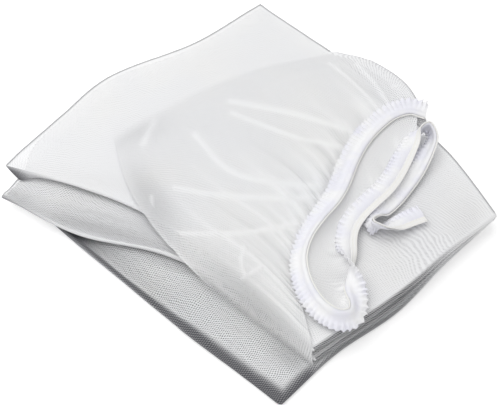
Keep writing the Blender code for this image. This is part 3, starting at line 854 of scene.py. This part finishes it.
class NET_OT_binding(Operator):
    """Build the ruffled binding along the opening"""

    bl_idname = "net.binding"
    bl_label = "Ruffled Binding"

    def execute(self, context):
        settings = context.scene.net_edge
        length = even_route(10)[1]
        pleats = round(length * MM / settings.pleat)
        share_of_route, length = even_route(pleats * 12)
        point, tangent, way, normal = route_frames(share_of_route)
        draw = np.random.default_rng(SEED)
        knots = np.linspace(0, 1, pleats + 1)
        place = np.linspace(0, 1, pleats * 12 + 1)
        uneven = np.interp(place, knots, draw.uniform(0.55, 1.45, pleats + 1))
        pitch = np.interp(place, knots, draw.uniform(0.75, 1.3, pleats + 1))
        turn = np.cumsum(pitch)
        turn = turn / turn[-1] * pleats * TURN
        reaches = np.concatenate((BINDING_UNDER, np.linspace(HEM_EDGE, TEETH_FROM, 8), BINDING_TEETH))
        rows = []
        for reach in reaches:
            share = max(reach - TEETH_FROM, 0.0) / (FRILL_REACH - TEETH_FROM)
            flat = min(max((reach - HEM_EDGE) / (TEETH_FROM - HEM_EDGE), 0.0), 1.0)
            swing = settings.swing / MM * (0.22 * flat + share**0.7) * np.sin(turn) * uneven
            puff = 0.9 * math.sin(math.pi * flat) - UNDER_DROP * (reach < HEM_EDGE)
            lean = 0.9 * share**1.5 * np.sin(2 * turn + 0.6) * uneven
            scallop = 0.9 * share**2 * np.cos(turn + 1.4) * uneven
            row = point + way * (reach + scallop[..., None]) + normal * (swing + puff)[:, None]
            rows.append(row + tangent * lean[:, None])
        points = np.array(rows).transpose(1, 0, 2)
        uv = np.stack(np.broadcast_arrays(reaches[None, :] * MM, (place * length * MM)[:, None]), axis=-1)
        piece = grid_piece("edge_frill", points, uv)
        thickness = piece.modifiers.new("Thickness", "SOLIDIFY")
        thickness.thickness = 0.0005
        thickness.offset = 0
        finish_piece(piece, "ruffled_binding", frill_cloth(settings))
        return {"FINISHED"}


def frill_cloth(settings):
    """Close white weave with a soft sheen."""
    nodes = Nodes("frill_cloth")
    across, along = nodes.weave_place()
    rib = nodes.math("SINE", nodes.math("MULTIPLY", along, TURN / 0.0005))
    rib = nodes.math("ADD", rib, nodes.math("SINE", nodes.math("MULTIPLY", across, TURN / 0.0006)))
    place = nodes.add("ShaderNodeTexCoord").outputs["Object"]
    cloud = nodes.add("ShaderNodeTexNoise", {"Vector": place, "Scale": 60.0, "Detail": 2.0}).outputs["Fac"]
    white = rgba(settings.white)
    cool = rgba([value * scale for value, scale in zip(settings.white, (0.93, 0.93, 0.99))])
    nodes.set("Base Color", nodes.mix(nodes.smooth(cloud, 0.35, 0.65), white, cool))
    nodes.set("Roughness", nodes.smooth(rib, -2.0, 2.0, 0.6, 0.8))
    nodes.set("Sheen Weight", 0.2)
    nodes.bump(rib, 0.3, 0.0001)
    return nodes.material


def tape_cloth(settings):
    """Braided elastic: fine lengthwise ribs crossed by short stitches."""
    nodes = Nodes("tape_cloth")
    across, along = nodes.weave_place()
    rib = nodes.math("SINE", nodes.math("MULTIPLY", across, TURN / 0.0009))
    stitch = nodes.math("SINE", nodes.math("MULTIPLY", along, TURN / 0.0012))
    height = nodes.math("ADD", nodes.math("MULTIPLY", rib, 0.7), nodes.math("MULTIPLY", stitch, 0.4))
    cream = rgba(settings.cream)
    pale = rgba(settings.white)
    nodes.set("Base Color", nodes.mix(nodes.smooth(height, -0.8, 0.8), cream, pale))
    nodes.set("Roughness", nodes.smooth(height, -1.0, 1.0, 0.65, 0.8))
    nodes.set("Sheen Weight", 0.15)
    nodes.bump(height, 0.5, 0.00015)
    return nodes.material


class NET_OT_tape(Operator):
    """Build the elastic tape"""

    bl_idname = "net.tape"
    bl_label = "Elastic Tape"

    def execute(self, context):
        settings = context.scene.net_edge
        share_of_route, length = even_route(900)
        point, tangent, way, normal = route_frames(share_of_route)
        reaches = np.linspace(TAPE_NEAR_EDGE, TAPE_FAR_EDGE, 13)
        place = np.linspace(0, 1, len(point))
        rows = []
        for number, reach in enumerate(reaches):
            share = number / (len(reaches) - 1)
            rise = 0.16 * math.cos(share * 4 * TURN) + 0.10 * np.sin(TURN * place * length / 3.2)
            rows.append(point + way * reach + normal * rise[:, None])
        points = np.array(rows).transpose(1, 0, 2)
        uv = np.stack(np.broadcast_arrays(reaches[None, :] * MM, (place * length * MM)[:, None]), axis=-1)
        piece = grid_piece("edge_tape", points, uv)
        thickness = piece.modifiers.new("Thickness", "SOLIDIFY")
        thickness.thickness = 0.001
        thickness.offset = 0
        finish_piece(piece, "elastic_tape", tape_cloth(settings))
        return {"FINISHED"}


class NET_OT_stage(Operator):
    """Set out the floor, the light and the camera"""

    bl_idname = "net.stage"
    bl_label = "Stage"

    def execute(self, context):
        settings = context.scene.net_studio
        make_floor(settings)
        make_light(context, settings)
        make_camera(context)
        return {"FINISHED"}


def make_floor(settings):
    """A plain pale floor."""
    bpy.ops.mesh.primitive_plane_add(size=8)
    floor = bpy.context.object
    floor.name = "floor"
    nodes = Nodes("floor_finish")
    nodes.set("Base Color", rgba(settings.floor))
    nodes.set("Roughness", 0.9)
    nodes.set("Specular IOR Level", 0.1)
    nodes.set("Emission Color", rgba(settings.floor))
    nodes.set("Emission Strength", settings.floor_glow)
    floor.data.materials.append(nodes.material)


def make_light(context, settings):
    """An even sky and one large soft light from the upper left."""
    world = bpy.data.worlds.new("studio")
    world.use_nodes = True
    sky = world.node_tree.nodes["Background"]
    sky.inputs["Color"].default_value = (1.0, 1.0, 1.0, 1.0)
    sky.inputs["Strength"].default_value = settings.sky
    context.scene.world = world
    data = bpy.data.lights.new("soft_key", "AREA")
    data.energy = settings.key
    data.shape = "DISK"
    data.size = 1.8
    light = bpy.data.objects.new("soft_key", data)
    light.location = (-0.35, -0.25, 1.5)
    light.rotation_euler = light.location.to_track_quat("Z", "Y").to_euler()
    context.scene.collection.objects.link(light)
    context.scene.view_settings.view_transform = "Standard"
    context.scene.cycles.transparent_max_bounces = 24


def make_camera(context):
    """The camera at the photograph's angle."""
    data = bpy.data.cameras.new("camera")
    data.lens = CAMERA_LENS
    data.sensor_width = 36
    camera = bpy.data.objects.new("camera", data)
    a, e = CAMERA_AZIMUTH, CAMERA_ELEVATION
    back = np.array((math.sin(a) * math.cos(e), -math.cos(a) * math.cos(e), math.sin(e)))
    camera.location = np.array(CAMERA_TARGET) + back * CAMERA_DISTANCE
    camera.rotation_euler = (math.pi / 2 - e, 0, a)
    context.scene.collection.objects.link(camera)
    context.scene.camera = camera


class NET_PT_panel(Panel):
    """Buttons for each piece of the net"""

    bl_label = "Crib Net"
    bl_idname = "NET_PT_panel"
    bl_space_type = "VIEW_3D"
    bl_region_type = "UI"
    bl_category = "Crib Net"

    def draw(self, context):
        for settings in (context.scene.net_cloth, context.scene.net_edge, context.scene.net_studio):
            for key in settings.__annotations__:
                self.layout.prop(settings, key)
        for operator in OPERATORS:
            self.layout.operator(operator.bl_idname)


OPERATORS = (NET_OT_stage, NET_OT_folded_plies, NET_OT_gathered_ply, NET_OT_inner_ply, NET_OT_binding, NET_OT_tape)
SETTINGS = {"net_cloth": ClothSettings, "net_edge": EdgeSettings, "net_studio": StudioSettings}


def register():
    """Registers the classes and hangs the settings on the scene."""
    for item in (*SETTINGS.values(), *OPERATORS, NET_PT_panel):
        bpy.utils.register_class(item)
    for key, item in SETTINGS.items():
        setattr(bpy.types.Scene, key, PointerProperty(type=item))


def unregister():
    """Takes the settings and the classes away again."""
    for key in SETTINGS:
        delattr(bpy.types.Scene, key)
    for item in reversed((*SETTINGS.values(), *OPERATORS, NET_PT_panel)):
        bpy.utils.unregister_class(item)


def main():
    """Builds every piece."""
    register()
    bpy.ops.net.stage()
    bpy.ops.net.folded_plies()
    bpy.ops.net.gathered_ply()
    bpy.ops.net.inner_ply()
    bpy.ops.net.tape()
    bpy.ops.net.binding()


if __name__ == "__main__":
    main()
